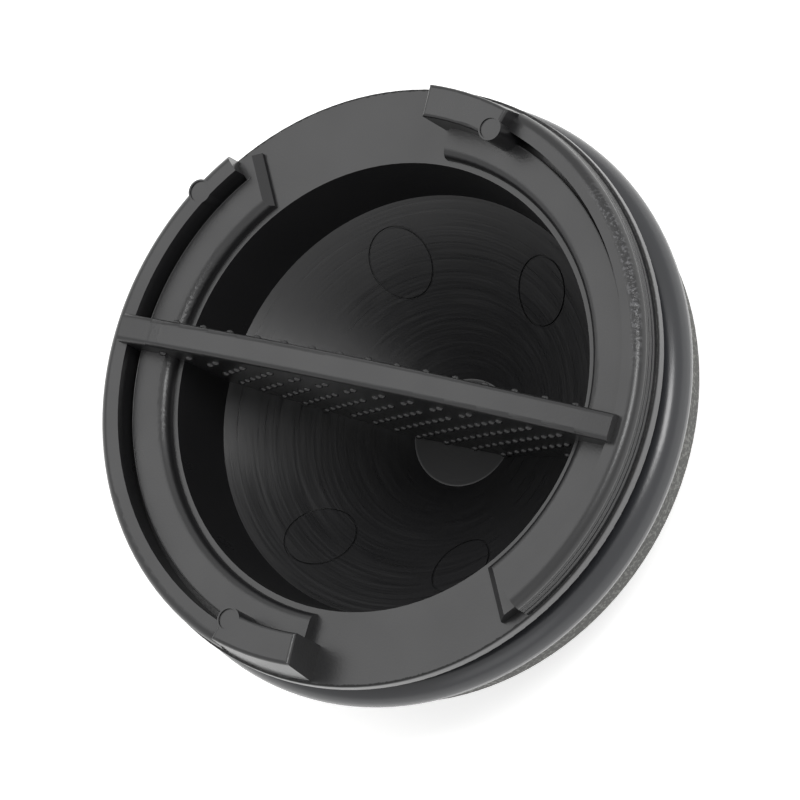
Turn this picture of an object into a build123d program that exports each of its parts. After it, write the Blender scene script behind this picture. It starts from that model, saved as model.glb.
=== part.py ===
from build123d import *
import os
from math import atan2, cos, degrees, radians, sin

os.makedirs("parts", exist_ok=True)

# Moulded oil drain plug with a turn-to-lock rim, a finger web and a rubber ring.
# Millimetres, +Z out of the open mouth, X along the web, Z = 0 on the flat nose.

# Cup and funnel floor
mouth_radius = 27.85
floor_radius = 26.25
disc_radius = 6.7
cup_depth = 8.75
cone_height = 12.4
disc_wall = 2.6
cone_wall = 2.4
cup_wall = 2.2
pin_radius = 4.0
pin_circle = 20.05
pin_angle = 60.0
pin_line = 0.25

# Flange, seal groove and pilot skirt
flange_radius = 37.1
flange_thickness = 1.5
flange_edge = 0.3
seat_radius = 32.35
seat_wall = 2.1
seat_height = 8.3
pilot_radius = 35.5
pilot_length = 4.6
pilot_wall = 2.4
pilot_edge = 0.6

# Rubber ring
ring_section = 5.3
ring_clearance = 0.05

# Lock rim: two like halves, angles from the web in degrees
halves = 2
half_turn = 360 / halves
lock_radius = 36.7
lock_wall = 2.65
lock_height = 3.7
lock_edge = 1.5
lock_end = -39.5
groove_width = 0.9
groove_end = -39.5
ledge_height = 1.5
ledge_start = 90.6
ledge_end = -44.0
ledge_slant = 13.5
step_run = 1.0
lip_setback = 0.7
lip_radius = 1.4
land_setback = 1.6
block_wall = 4.5
block_rise = 2.5
block_start = 74.9
block_end = 93.2
block_edge = 0.45
block_flare = 0.5
mark_radius = 1.5
mark_depth = 0.2
mark_rim = 0.2
block_mark_radius = 33.2
block_mark_angle = 76.4
wall_mark_radius = 35.4
wall_mark_angle = 148.9

# Finger web across the mouth
web_thickness = 3.5
web_reach = 34.8
web_rise = 1.35
web_crown = 2.6
web_edge = 0.7
web_root = 1.0

# Levels and radii that follow
disc_z = disc_wall
floor_z = disc_z + cone_height
plateau_z = floor_z + cup_depth
flange_base_z = plateau_z - flange_thickness
shoulder_z = flange_base_z - seat_height
pilot_base_z = shoulder_z - pilot_length
lock_z = plateau_z + lock_height
block_z = lock_z + block_rise
web_end_z = lock_z + web_rise
lock_inner_radius = lock_radius - lock_wall
block_inner_radius = lock_radius - block_wall
lip_foot_radius = mouth_radius + lip_setback
land_radius = flange_radius - land_setback

# The cone's back runs parallel to its face
cone_angle = degrees(atan2(cone_height, floor_radius - disc_radius))
cone_slope = cone_height / (floor_radius - disc_radius)
cone_drop = cone_wall / cos(radians(cone_angle))
nose_radius = disc_radius + (cone_drop - disc_wall) / cone_slope
back_radius = floor_radius + cup_wall
back_z = floor_z - cone_drop + cup_wall * cone_slope

# Core-out between the cone's back and the skirt, up to the level of the floor's edge
pocket_radius = seat_radius - seat_wall
pocket_step_z = shoulder_z - pilot_wall
pilot_inner_radius = pilot_radius - pilot_wall

ring_centre_radius = seat_radius + ring_clearance + ring_section / 2
ring_centre_z = shoulder_z + ring_clearance + ring_section / 2


def on_circle(radius, angle):
    return (radius * cos(radians(angle)), radius * sin(radians(angle)))


def upright_plane(angle):
    # A plane through the axis, turned from the web by angle
    return Plane((0, 0, 0), x_dir=(*on_circle(1, angle), 0), z_dir=(*on_circle(1, angle - 90), 0))


def wedge(start, end):
    # A plan polygon from the axis past the flange, between two angles
    reach = 2 * flange_radius
    steps = 3
    turn = (end - start) / steps
    return [(0, 0)] + [on_circle(reach, start + step * turn) for step in range(steps + 1)]


def slanted_wedge(start, end, slant, radius):
    # The same, but with its first side turned by slant about its point at radius
    pivot = Vector(*on_circle(radius, start))
    along = Vector(*on_circle(1, start - slant))
    inner = pivot - along * 2 * (radius - mouth_radius)
    outer = pivot + along * flange_radius
    corners = wedge(start, end)
    return [corners[0], (inner.X, inner.Y), (outer.X, outer.Y)] + corners[2:]


with BuildPart() as pin_outlines:
    # A thin layer along the funnel floor, kept only round each ejector pin
    with BuildSketch(Plane.XZ):
        with BuildLine():
            Polyline(
                (disc_radius, disc_z - pin_line),
                (floor_radius, floor_z - pin_line),
                (floor_radius, floor_z + pin_line),
                (disc_radius, disc_z + pin_line),
                close=True,
            )
        make_face()
    revolve(axis=Axis.Z)
    with BuildSketch():
        for side in (pin_angle, -pin_angle):
            with PolarLocations(pin_circle, halves, start_angle=side):
                Circle(pin_radius)
                Circle(pin_radius - pin_line, mode=Mode.SUBTRACT)
    extrude(amount=floor_z + pin_line, mode=Mode.INTERSECT)

with BuildPart() as plug_body:
    # Turned section: the funnel floor, fused with the cup wall, flange, groove and skirt
    with BuildSketch(Plane.XZ):
        with BuildLine():
            Polyline(
                (0, disc_z),
                (disc_radius, disc_z),
                (floor_radius, floor_z),
                (back_radius, floor_z),
                (back_radius, back_z),
                (nose_radius, 0),
                (0, 0),
                close=True,
            )
        make_face()
        with BuildLine():
            Polyline(
                (floor_radius, floor_z),
                (mouth_radius, plateau_z),
                (flange_radius, plateau_z),
                (flange_radius, flange_base_z),
                (seat_radius, flange_base_z),
                (seat_radius, shoulder_z),
                (pilot_radius, shoulder_z),
                (pilot_radius, pilot_base_z),
                (pilot_inner_radius, pilot_base_z),
                (pilot_inner_radius, pocket_step_z),
                (pocket_radius, shoulder_z),
                (pocket_radius, floor_z),
                close=True,
            )
        make_face()
    revolve(axis=Axis.Z)
    rims = plug_body.edges().filter_by(GeomType.CIRCLE)
    pilot_rims = rims.filter_by_position(Axis.Z, pilot_base_z, pilot_base_z)
    chamfer(pilot_rims.sort_by(SortBy.RADIUS)[-1], length=min(pilot_edge, pilot_wall / 2))
    rims = plug_body.edges().filter_by(GeomType.CIRCLE)
    flange_rims = rims.filter_by_position(Axis.Z, flange_base_z, plateau_z)
    fillet(flange_rims.sort_by(SortBy.RADIUS)[-2:], radius=min(flange_edge, flange_thickness / 4))

    # Round outlines that the ejector pins leave on the floor
    add(pin_outlines.part, mode=Mode.SUBTRACT)

    # Ledges with a rounded inner lip, ending in a slanted and sloped step
    with BuildSketch(Plane.XY.offset(plateau_z)):
        with PolarLocations(0, halves):
            Polygon(*slanted_wedge(ledge_end, ledge_start, ledge_slant, lock_inner_radius), align=None)
        Circle(land_radius, mode=Mode.INTERSECT)
        Circle(lip_foot_radius, mode=Mode.SUBTRACT)
    extrude(amount=ledge_height)
    ledge_rims = plug_body.edges().group_by(Axis.Z)[-1]
    steps = ledge_rims.filter_by(GeomType.LINE).sort_by(SortBy.LENGTH)[-halves:]
    chamfer(steps, length=min(step_run, ledge_height * 2 / 3))
    lips = plug_body.edges().filter_by(GeomType.CIRCLE).group_by(Axis.Z)[-1]
    fillet(lips.group_by(SortBy.RADIUS)[0], radius=min(lip_radius, ledge_height * 0.95))

    # Narrow groove along the foot of each lock wall, running in under the block
    with BuildSketch(Plane.XY.offset(plateau_z)):
        with PolarLocations(0, halves):
            Polygon(*wedge(groove_end, (block_start + block_end) / 2), align=None)
        Circle(lock_inner_radius, mode=Mode.INTERSECT)
        Circle(lock_inner_radius - groove_width, mode=Mode.SUBTRACT)
    extrude(amount=ledge_height, mode=Mode.SUBTRACT)

    # Thin lock walls with a rounded outer edge
    with BuildSketch(Plane.XY.offset(plateau_z)):
        with PolarLocations(0, halves):
            Polygon(*wedge(lock_end, block_start), align=None)
        Circle(lock_radius, mode=Mode.INTERSECT)
        Circle(lock_inner_radius, mode=Mode.SUBTRACT)
    extrude(amount=lock_height)
    wall_rims = plug_body.edges().filter_by(GeomType.CIRCLE).group_by(Axis.Z)[-1]
    fillet(wall_rims.group_by(SortBy.RADIUS)[-1], radius=min(lock_edge, lock_wall / 2, lock_height / 2))

    # Stop blocks at one end of each wall, flared outside
    for half in range(halves):
        with BuildSketch(upright_plane(block_start + half * half_turn)):
            with BuildLine():
                Polyline(
                    (block_inner_radius, plateau_z),
                    (lock_radius, plateau_z),
                    (lock_radius - block_flare, block_z),
                    (block_inner_radius, block_z),
                    close=True,
                )
            make_face()
        revolve(axis=Axis.Z, revolution_arc=block_end - block_start)
    block_tops = plug_body.faces().sort_by(Axis.Z)[-halves:]
    fillet(block_tops.edges(), radius=min(block_edge, block_rise / 2))

    # Ejector marks: round dished pads on the blocks and on one wall
    with BuildSketch(Plane.XY.offset(plateau_z)):
        with PolarLocations(block_mark_radius, halves, start_angle=block_mark_angle):
            Circle(mark_radius)
    extrude(amount=block_z - plateau_z)
    with BuildSketch(Plane.XY.offset(plateau_z)):
        with Locations(on_circle(wall_mark_radius, wall_mark_angle)):
            Circle(mark_radius)
    extrude(amount=lock_height)
    with BuildSketch(Plane.XY.offset(block_z)):
        with PolarLocations(block_mark_radius, halves, start_angle=block_mark_angle):
            Circle(mark_radius - mark_rim)
    extrude(amount=-mark_depth, mode=Mode.SUBTRACT)
    with BuildSketch(Plane.XY.offset(lock_z)):
        with Locations(on_circle(wall_mark_radius, wall_mark_angle)):
            Circle(mark_radius - mark_rim)
    extrude(amount=-mark_depth, mode=Mode.SUBTRACT)

    # Finger web with a crowned top, standing on the floor
    with BuildSketch(Plane.XZ):
        with BuildLine():
            ThreePointArc((-web_reach, web_end_z), (0, web_end_z + web_crown), (web_reach, web_end_z))
            Polyline(
                (web_reach, web_end_z),
                (web_reach, plateau_z),
                (mouth_radius, plateau_z),
                (floor_radius, floor_z - web_root),
                (disc_radius, disc_z - web_root),
                (-disc_radius, disc_z - web_root),
                (-floor_radius, floor_z - web_root),
                (-mouth_radius, plateau_z),
                (-web_reach, plateau_z),
                (-web_reach, web_end_z),
            )
        make_face()
    extrude(amount=web_thickness / 2, both=True)
    web_rims = plug_body.edges().group_by(Axis.Z)[-1]
    fillet(web_rims, radius=min(web_edge, web_thickness / 3))

plug_body.part.label = "plug_body"
export_step(plug_body.part, "parts/plug_body.step")

with BuildPart() as sealing_ring:
    with BuildSketch(Plane.XZ):
        with Locations((ring_centre_radius, ring_centre_z)):
            Circle(ring_section / 2)
    revolve(axis=Axis.Z)

sealing_ring.part.label = "sealing_ring"
export_step(sealing_ring.part, "parts/sealing_ring.step")
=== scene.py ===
import math
import bpy
from mathutils import Matrix, Vector


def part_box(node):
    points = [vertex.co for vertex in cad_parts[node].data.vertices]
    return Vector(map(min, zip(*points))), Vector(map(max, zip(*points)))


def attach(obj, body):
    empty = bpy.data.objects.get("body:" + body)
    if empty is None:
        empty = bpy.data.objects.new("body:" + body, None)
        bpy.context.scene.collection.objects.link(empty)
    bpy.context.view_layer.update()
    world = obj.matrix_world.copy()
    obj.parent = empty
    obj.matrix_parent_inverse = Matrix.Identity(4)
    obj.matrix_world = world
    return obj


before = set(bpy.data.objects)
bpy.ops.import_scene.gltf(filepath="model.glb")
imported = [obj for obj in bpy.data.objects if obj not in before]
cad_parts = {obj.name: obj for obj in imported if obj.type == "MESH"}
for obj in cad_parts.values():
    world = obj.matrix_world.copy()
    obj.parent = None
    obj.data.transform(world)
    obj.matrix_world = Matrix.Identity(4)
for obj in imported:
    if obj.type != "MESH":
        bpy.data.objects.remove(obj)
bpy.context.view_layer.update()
mm = 0.001
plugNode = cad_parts["plug_body"]
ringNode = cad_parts["sealing_ring"]
plugLow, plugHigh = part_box("plug_body")
flangeRadius = plugHigh[0]
webTopZ = plugHigh[2]  # middle of the crowned web
print("frame loaded:", len(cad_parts), "nodes")


def hexColour(code):
    # sRGB hex to linear RGBA
    parts = [int(code[i:i + 2], 16) / 255 for i in (1, 3, 5)]
    return [p / 12.92 if p <= 0.04045 else ((p + 0.055) / 1.055) ** 2.4 for p in parts] + [1.0]


def addNode(tree, kind, links=None, **settings):
    # one node with its settings; a link goes from an output socket to a named or numbered input
    made = tree.nodes.new(kind)
    for name, value in settings.items():
        if name in made.inputs:
            made.inputs[name].default_value = value
        else:
            setattr(made, name, value)
    for name, source in (links or {}).items():
        if hasattr(source, "is_output"):
            tree.links.new(source, made.inputs[name])
        else:
            made.inputs[name].default_value = source
    return made


def newMaterial(name):
    made = bpy.data.materials.new(name)
    made.use_nodes = True
    tree = made.node_tree
    shader = tree.nodes["Principled BSDF"]
    return made, tree, shader


def dress(piece, material):
    piece.data.materials.clear()
    piece.data.materials.append(material)


# places on the plug, shared by the finish of the body and by the added pieces
plug = dict(
    flangeRadius=flangeRadius,
    coneTopZ=15.0 * mm,  # edge of the funnel floor
    coneRadius=26.25 * mm,
    shoulderZ=13.95 * mm,  # the ring lies on this
    skirtRadius=35.5 * mm,
    flangeBaseZ=22.25 * mm,
    plateauZ=23.75 * mm,
    wallTopZ=27.45 * mm,
    wallRadius=36.7 * mm,
    wallInnerRadius=34.05 * mm,
    ledgeZ=25.25 * mm,
    discRadius=6.7 * mm,
    discZ=2.6 * mm,
    mouthRadius=27.85 * mm,
    webHalf=1.75 * mm,  # half the web's thickness
    webReach=34.8 * mm,
    webCrown=2.6 * mm,  # how much the web's top rises in the middle
)

# glass-filled polyamide, injection moulded: satin black with a faint grain, turned tool marks in the funnel
bodyFinish = dict(
    colour="#1c1c1d",
    # skirt painted pale grey, much lighter than the body
    paleSkirt="#5a5a58",
    speckle="#7d7d7a",
    scuffed="#4c4c4e",
    # painted highlight: the flange's outward side painted lighter than the body
    flangeSideLit="#505051",
    # painted shadow: near-black along the ragged burr where the wall meets the flange
    burrShadow="#070707",
    roughness=0.31,
    grain=0.35 * mm,  # real grain is nearer 0.1 mm, drawn coarser so that it shows
    blotch=9 * mm,
    crumb=0.4 * mm,
    burrRag=0.5 * mm,  # how far the burr's edge wanders
    toolMark=0.3 * mm,
    markSectors=1.5,
    wallStep=0.8 * mm,
    streaks=(0.26, 0.46),  # roughness of the tool marks, smoothest and coarsest
    discRoughness=0.7,
    skirtRoughness=0.75,
    burrRoughness=0.8,
    grainRelief=(0.14, 0.1 * mm),  # strength and depth, as for the next three
    edgeRelief=(0.55, 0.25 * mm),
    lipRelief=(0.3, 0.15 * mm),
    stepRelief=(0.5, 0.12 * mm),
    ior=1.53,
)


def bodyMaterial():
    made, tree, shader = newMaterial("satinBlackPolyamide")
    place = addNode(tree, "ShaderNodeTexCoord").outputs["Object"]
    split = addNode(tree, "ShaderNodeSeparateXYZ", {0: place})
    across, height = split.outputs[0], split.outputs[2]
    flat = addNode(tree, "ShaderNodeCombineXYZ", {0: across, 1: split.outputs[1]}).outputs[0]
    radius = addNode(tree, "ShaderNodeVectorMath", {0: flat}, operation="LENGTH").outputs["Value"]
    angle = addNode(tree, "ShaderNodeMath", {0: split.outputs[1], 1: across}, operation="ARCTAN2").outputs[0]

    def region(*limits):
        # mask of a place on the plug: each limit goes from 0 at its start to 1 at its end
        mask = 1.0
        for value, start, end in limits:
            step = addNode(tree, "ShaderNodeMapRange", {0: value, 1: start, 2: end},
                           interpolation_type="SMOOTHSTEP").outputs[0]
            mask = addNode(tree, "ShaderNodeMath", {0: mask, 1: step}, operation="MULTIPLY").outputs[0]
        return mask

    # patterns: moulded grain, soft blotches, torn crumbs and turned rings of tool marks
    grain, blotch, crumbs = [
        addNode(tree, "ShaderNodeTexNoise", {"Vector": place},
                Scale=1 / bodyFinish[size], Detail=detail).outputs[0]
        for size, detail in (("grain", 2.0), ("blotch", 4.0), ("crumb", 3.0))
    ]
    ringwise = addNode(tree, "ShaderNodeMath", {0: radius, 1: 1 / bodyFinish["toolMark"]},
                       operation="MULTIPLY").outputs[0]
    roundwise = addNode(tree, "ShaderNodeMath", {0: angle, 1: bodyFinish["markSectors"]},
                        operation="MULTIPLY").outputs[0]
    markPlace = addNode(tree, "ShaderNodeCombineXYZ", {0: ringwise, 1: roundwise}).outputs[0]
    marks = addNode(tree, "ShaderNodeTexNoise", {"Vector": markPlace}, Scale=1.0, Detail=3.0).outputs[0]

    # places with a look of their own
    inFunnel = region((radius, plug["coneRadius"] + 0.2 * mm, plug["coneRadius"] - 0.2 * mm),
                      (height, plug["coneTopZ"] + 0.3 * mm, plug["coneTopZ"]))
    onDisc = region((radius, plug["discRadius"], plug["discRadius"] - 0.3 * mm),
                    (height, plug["discZ"] + 0.3 * mm, plug["discZ"] + 0.1 * mm))
    onSkirt = region((height, plug["shoulderZ"] + 0.05 * mm, plug["shoulderZ"] - 0.1 * mm),
                     (radius, plug["skirtRadius"] - 1.0 * mm, plug["skirtRadius"] - 0.7 * mm))
    # the flange's side, where the lighter colour is a painted highlight
    onFlangeSide = region((radius, plug["flangeRadius"] - 0.2 * mm, plug["flangeRadius"] - 0.05 * mm),
                          (height, plug["flangeBaseZ"], plug["flangeBaseZ"] + 0.2 * mm))
    ragged = addNode(tree, "ShaderNodeMath", {0: crumbs, 1: bodyFinish["burrRag"], 2: radius},
                     operation="MULTIPLY_ADD").outputs[0]
    # the ragged burr line: its dull roughness is real, its near-black colour is painted shadow
    onBurrAndShadow = region((ragged, plug["wallRadius"] + 0.3 * mm, plug["wallRadius"] + 0.4 * mm),
                    (radius, plug["flangeRadius"] - 0.02 * mm, plug["flangeRadius"] - 0.12 * mm),
                    (height, plug["plateauZ"] - 0.35 * mm, plug["plateauZ"] - 0.2 * mm),
                    (height, plug["plateauZ"] + 0.3 * mm, plug["plateauZ"] + 0.1 * mm))
    onWallEdge = region((radius, plug["wallRadius"] - 1.7 * mm, plug["wallRadius"] - 1.2 * mm),
                        (radius, plug["wallRadius"] - 0.1 * mm, plug["wallRadius"] - 0.5 * mm),
                        (height, plug["wallTopZ"] - 1.2 * mm, plug["wallTopZ"] - 0.8 * mm),
                        (angle, 0.15, 0.4), (angle, 1.0, 0.75))
    onLip = region((radius, plug["mouthRadius"] + 0.6 * mm, plug["mouthRadius"] + 0.9 * mm),
                   (radius, plug["mouthRadius"] + 2.6 * mm, plug["mouthRadius"] + 2.0 * mm),
                   (across, -26.5 * mm, -27.5 * mm), (height, plug["plateauZ"], plug["plateauZ"] + 0.4 * mm))
    onWallSide = region((radius, plug["wallRadius"] - 0.1 * mm, plug["wallRadius"] - 0.02 * mm),
                        (height, plug["plateauZ"] + 0.2 * mm, plug["plateauZ"] + 0.4 * mm),
                        (height, plug["wallTopZ"] - 1.0 * mm, plug["wallTopZ"] - 1.4 * mm))

    # colour: skirt painted pale grey, flange side painted lighter as a highlight, painted shadow along the
    # burr where the wall stands on it, crumbly edges
    torn = region((crumbs, 0.5, 0.62))
    chipped = addNode(tree, "ShaderNodeMath", {0: onWallEdge, 1: torn}, operation="MULTIPLY").outputs[0]
    tint = hexColour(bodyFinish["colour"])
    speckled = addNode(tree, "ShaderNodeMath", {0: onSkirt, 1: torn}, operation="MULTIPLY").outputs[0]
    for mask, colour in ((onSkirt, "paleSkirt"), (speckled, "speckle"), (onFlangeSide, "flangeSideLit"),
                         (onBurrAndShadow, "burrShadow"), (chipped, "scuffed")):
        tint = addNode(tree, "ShaderNodeMix", {0: mask, 6: tint, 7: hexColour(bodyFinish[colour])},
                       data_type="RGBA").outputs[2]
    tree.links.new(tint, shader.inputs["Base Color"])

    # gloss: blotchy satin, streaked by the tool marks in the funnel, dull on the disc
    gloss = addNode(tree, "ShaderNodeMapRange", {
        0: blotch, 1: 0.3, 2: 0.7,
        3: bodyFinish["roughness"] - 0.04, 4: bodyFinish["roughness"] + 0.05}).outputs[0]
    smooth, coarse = bodyFinish["streaks"]
    streaked = addNode(tree, "ShaderNodeMapRange", {
        0: marks, 1: 0.3, 2: 0.7, 3: smooth, 4: coarse}).outputs[0]
    for mask, value in ((inFunnel, streaked), (onDisc, bodyFinish["discRoughness"]),
                        (onSkirt, bodyFinish["skirtRoughness"]), (onBurrAndShadow, bodyFinish["burrRoughness"])):
        gloss = addNode(tree, "ShaderNodeMix", {0: mask, 2: gloss, 3: value}, data_type="FLOAT").outputs[0]
    tree.links.new(gloss, shader.inputs["Roughness"])

    # relief: grain all over, tool marks, torn lip and wall edge, fine steps up the wall's outer face
    relief = addNode(tree, "ShaderNodeMix", {0: inFunnel, 2: grain, 3: marks}, data_type="FLOAT").outputs[0]
    steps = addNode(tree, "ShaderNodeMath", {0: height, 1: 2 * math.pi / bodyFinish["wallStep"]},
                    operation="MULTIPLY").outputs[0]
    steps = addNode(tree, "ShaderNodeMath", {0: steps}, operation="SINE").outputs[0]
    normal = None
    for mask, pattern, (strength, depth) in (
        (1.0, relief, bodyFinish["grainRelief"]),
        (onWallEdge, crumbs, bodyFinish["edgeRelief"]),
        (onLip, crumbs, bodyFinish["lipRelief"]),
        (onWallSide, steps, bodyFinish["stepRelief"]),
    ):
        raised = addNode(tree, "ShaderNodeMath", {0: pattern, 1: mask}, operation="MULTIPLY").outputs[0]
        bump = addNode(tree, "ShaderNodeBump", {"Height": raised}, Strength=strength, Distance=depth)
        if normal:
            tree.links.new(normal, bump.inputs["Normal"])
        normal = bump.outputs[0]
    tree.links.new(normal, shader.inputs["Normal"])
    shader.inputs["IOR"].default_value = bodyFinish["ior"]
    return made


# nitrile rubber, moulded and lightly oiled: deep black with a soft sheen
ringFinish = dict(
    colour="#303134",
    roughness=0.25,
    sheen=0.35,
    sheenRoughness=0.3,
    grain=0.4 * mm,
    grainRelief=(0.08, 0.1 * mm),  # strength and depth
    ior=1.52,
)


def ringMaterial():
    made, tree, shader = newMaterial("oiledNitrileRubber")
    place = addNode(tree, "ShaderNodeTexCoord").outputs["Object"]
    grain = addNode(tree, "ShaderNodeTexNoise", {"Vector": place}, Scale=1 / ringFinish["grain"], Detail=2.0)
    strength, depth = ringFinish["grainRelief"]
    bump = addNode(tree, "ShaderNodeBump", {"Height": grain.outputs[0]}, Strength=strength, Distance=depth)
    tree.links.new(bump.outputs[0], shader.inputs["Normal"])
    shader.inputs["Base Color"].default_value = hexColour(ringFinish["colour"])
    shader.inputs["Roughness"].default_value = ringFinish["roughness"]
    shader.inputs["Sheen Weight"].default_value = ringFinish["sheen"]
    shader.inputs["Sheen Roughness"].default_value = ringFinish["sheenRoughness"]
    shader.inputs["IOR"].default_value = ringFinish["ior"]
    return made


blackPolyamide = bodyMaterial()
dress(plugNode, blackPolyamide)
dress(ringNode, ringMaterial())
print("finishes set")


# moulded grip pips on both faces of the web, in staggered rows that follow its crowned top
pips = dict(
    pitch=4.04 * mm,
    firstX=-29.4 * mm,
    count=15,
    frontDepth=3.2 * mm,  # first row below the web's top
    backDepth=1.25 * mm,
    length=1.15 * mm,
    height=0.7 * mm,
    proud=0.42 * mm,
    root=0.1 * mm,  # how deep each pip is rooted in the web
    margin=0.9 * mm,  # kept clear of the floor and the cup wall
)


def webTop(x):
    # the crowned top as an arc through its ends and middle
    reach, crown = plug["webReach"], plug["webCrown"]
    bend = (reach ** 2 + crown ** 2) / (2 * crown)
    return webTopZ - bend + math.sqrt(bend ** 2 - x ** 2)


def onWeb(x, z):
    # true where the web's face is bare
    across = abs(x)
    floorZ = plug["discZ"]
    if across > plug["discRadius"]:
        slope = (plug["coneTopZ"] - plug["discZ"]) / (plug["coneRadius"] - plug["discRadius"])
        floorZ += (across - plug["discRadius"]) * slope
    wallAt = plug["coneRadius"] if z < plug["plateauZ"] else plug["wallInnerRadius"]
    if z > plug["plateauZ"]:
        floorZ = plug["plateauZ"] if across < plug["mouthRadius"] else plug["ledgeZ"]
    return z > floorZ + pips["margin"] and across < wallAt - pips["margin"]


def makePips(name, side, firstDepth, firstShift):
    bpy.ops.object.select_all(action="DESELECT")
    row = 0
    made = []
    depth = firstDepth
    while depth < webTopZ - plug["discZ"]:
        shift = firstShift + (row % 2) * pips["pitch"] / 2
        for i in range(pips["count"]):
            x = pips["firstX"] + shift + i * pips["pitch"]
            z = webTop(min(abs(x), plug["webReach"])) - depth
            if onWeb(x, z):
                made.append((x, z))
        row += 1
        depth += pips["pitch"] / 2
    first = None
    for x, z in made:
        if first is None:
            bpy.ops.mesh.primitive_uv_sphere_add(segments=8, ring_count=6, radius=0.5)
            first = bpy.context.object
            bpy.ops.object.mode_set(mode="EDIT")
            bpy.ops.transform.resize(value=(pips["length"], 2 * pips["proud"], pips["height"]))
            bpy.ops.mesh.select_all(action="SELECT")
            bpy.ops.mesh.bisect(plane_co=(0, -side * pips["root"], 0), plane_no=(0, side, 0),
                                use_fill=True, clear_inner=True)
            bpy.ops.mesh.select_all(action="SELECT")
            bpy.ops.mesh.normals_make_consistent(inside=False)
            bpy.ops.object.mode_set(mode="OBJECT")
            bpy.ops.object.shade_smooth()
            copy = first
        else:
            copy = first.copy()
            copy.data = first.data.copy()
            bpy.context.collection.objects.link(copy)
        copy.location = (x, side * plug["webHalf"], z)
        copy.select_set(True)
    bpy.context.view_layer.objects.active = first
    bpy.ops.object.join()
    bpy.ops.object.transform_apply(location=True, rotation=True, scale=True)
    first.name = name
    dress(first, blackPolyamide)
    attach(first, "root")
    print(name, len(made), "pips")


makePips("web_pips_front", -1, pips["frontDepth"], 0.0)
makePips("web_pips_back", 1, pips["backDepth"], pips["pitch"] / 2)


# fine line of flash that the mould leaves along the edge of each ledge
flash = dict(radius=33.15 * mm, thickness=0.09 * mm, start=139.5, end=254.0, steps=96)


def makeFlash(name, turn):
    bpy.ops.object.select_all(action="DESELECT")
    bpy.ops.mesh.primitive_circle_add(
        vertices=6, radius=flash["thickness"], fill_type="NGON", rotation=(math.pi / 2, 0, 0),
        location=(flash["radius"], 0, plug["ledgeZ"]))
    line = bpy.context.object
    line.name = name
    bpy.ops.object.transform_apply(location=True, rotation=True, scale=True)
    bpy.ops.object.mode_set(mode="EDIT")
    bpy.ops.mesh.select_all(action="SELECT")
    bpy.ops.mesh.spin(steps=flash["steps"], angle=math.radians(flash["start"] - flash["end"]),
                      center=(0, 0, 0), axis=(0, 0, 1))
    bpy.ops.mesh.select_all(action="SELECT")
    bpy.ops.mesh.remove_doubles(threshold=0.00001)
    bpy.ops.mesh.normals_make_consistent(inside=False)
    bpy.ops.object.mode_set(mode="OBJECT")
    line.rotation_euler = (0, 0, math.radians(flash["start"] + turn))
    bpy.ops.object.transform_apply(location=True, rotation=True, scale=True)
    bpy.ops.object.shade_smooth()
    dress(line, blackPolyamide)
    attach(line, "root")


makeFlash("ledge_flash_left", 0.0)
makeFlash("ledge_flash_right", 180.0)
print("grip pips and flash made")


def seenRays(tree):
    # 1 for what the camera sees, directly, mirrored or through glass
    path = addNode(tree, "ShaderNodeLightPath")
    seen = path.outputs["Is Camera Ray"]
    for kind in ("Is Glossy Ray", "Is Transmission Ray"):
        seen = addNode(tree, "ShaderNodeMath", {0: seen, 1: path.outputs[kind]},
                       operation="MAXIMUM").outputs[0]
    return seen


# white paper sweep that goes on past the picture
floorSize = dict(side=6.0, colour="#f4f4f3", roughness=0.9, ownGlow=0.6, gap=0.05 * mm)


def layFloor():
    bpy.ops.object.select_all(action="DESELECT")
    bpy.ops.mesh.primitive_plane_add(size=floorSize["side"], location=(0, 0, plugLow[2] - floorSize["gap"]))
    floor = bpy.context.object
    floor.name = "paper_floor"
    made, tree, shader = newMaterial("whitePaper")
    shader.inputs["Base Color"].default_value = hexColour(floorSize["colour"])
    shader.inputs["Roughness"].default_value = floorSize["roughness"]
    seen = seenRays(tree)
    glow = addNode(tree, "ShaderNodeMath", {0: seen, 1: floorSize["ownGlow"]}, operation="MULTIPLY")
    shader.inputs["Emission Color"].default_value = (1, 1, 1, 1)
    tree.links.new(glow.outputs[0], shader.inputs["Emission Strength"])
    dress(floor, made)


skyGlow = 0.55  # light of the pale room on the plug

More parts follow.
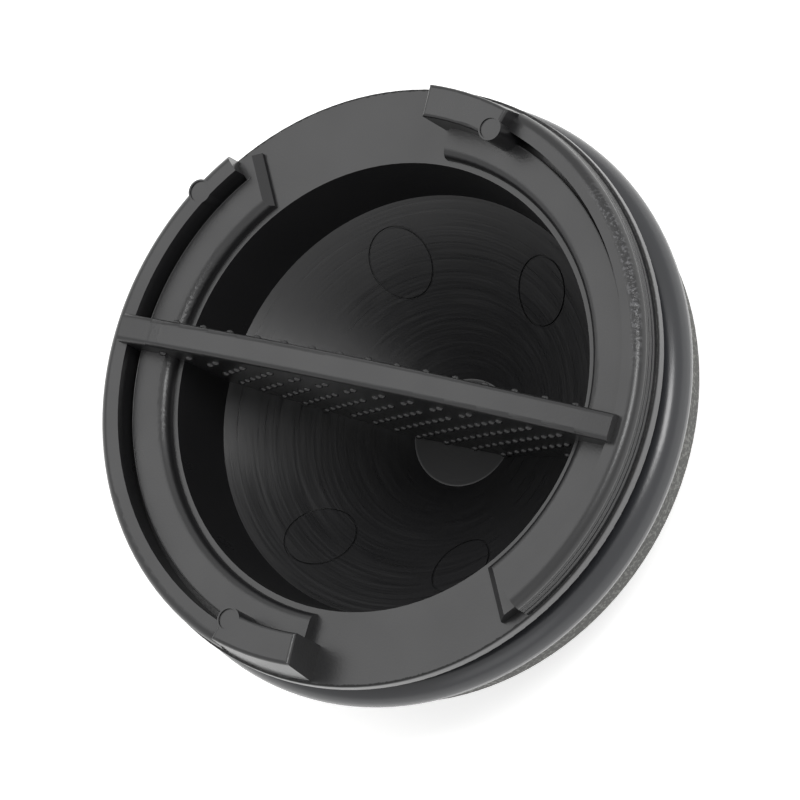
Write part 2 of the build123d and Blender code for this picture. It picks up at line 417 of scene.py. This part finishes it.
# soft boxes: direction from the plug, distance, size and power
lamps = dict(
    keyBox=dict(towards=(0.55, 0.25, 0.78), distance=0.7, size=0.25, power=2.2),
    topBox=dict(towards=(-0.51, 0.14, 0.85), distance=0.8, size=0.6, power=1.6),
    frontBox=dict(towards=(0.3, -0.8, 0.5), distance=0.8, size=0.4, power=0.35),
)


def setLights():
    aim = Vector((0, 0, plug["plateauZ"]))
    for name, box in lamps.items():
        data = bpy.data.lights.new(name, "AREA")
        data.shape = "SQUARE"
        data.size = box["size"]
        data.energy = box["power"]
        lamp = bpy.data.objects.new(name, data)
        bpy.context.collection.objects.link(lamp)
        lamp.location = aim + Vector(box["towards"]).normalized() * box["distance"]
        lamp.rotation_euler = (aim - lamp.location).to_track_quat("-Z", "Y").to_euler()
    world = bpy.data.worlds.new("paleStudio")
    bpy.context.scene.world = world
    world.use_nodes = True
    tree = world.node_tree
    tree.nodes.clear()
    seen = seenRays(tree)
    strength = addNode(tree, "ShaderNodeMapRange", {0: seen, 1: 0.0, 2: 1.0, 3: skyGlow, 4: 1.0})
    sky = addNode(tree, "ShaderNodeBackground", {"Strength": strength.outputs[0]}, Color=(1, 1, 1, 1))
    addNode(tree, "ShaderNodeOutputWorld", {"Surface": sky.outputs[0]})


# long lens, looking down at the mouth with the plug rolled in the frame
photoView = dict(
    place=(1228.9, -329.6, 2051.0),  # mm
    right=(0.8409, 0.28, -0.4632),
    up=(-0.1737, 0.9501, 0.259),
    lens=900.0,
    sensor=36.0,
)


def setCamera():
    data = bpy.data.cameras.new("photoCamera")
    data.lens = photoView["lens"]
    data.sensor_width = photoView["sensor"]
    data.sensor_fit = "HORIZONTAL"
    data.clip_start = 0.1
    data.clip_end = 20.0
    camera = bpy.data.objects.new("photoCamera", data)
    bpy.context.collection.objects.link(camera)
    right = Vector(photoView["right"]).normalized()
    up = Vector(photoView["up"])
    up = (up - right * up.dot(right)).normalized()
    turn = Matrix((right, up, right.cross(up))).transposed().to_4x4()
    camera.matrix_world = Matrix.Translation(Vector(photoView["place"]) * mm) @ turn
    bpy.context.scene.camera = camera


layFloor()
setLights()
setCamera()
bpy.context.scene.view_settings.view_transform = "Standard"
print("stage set")
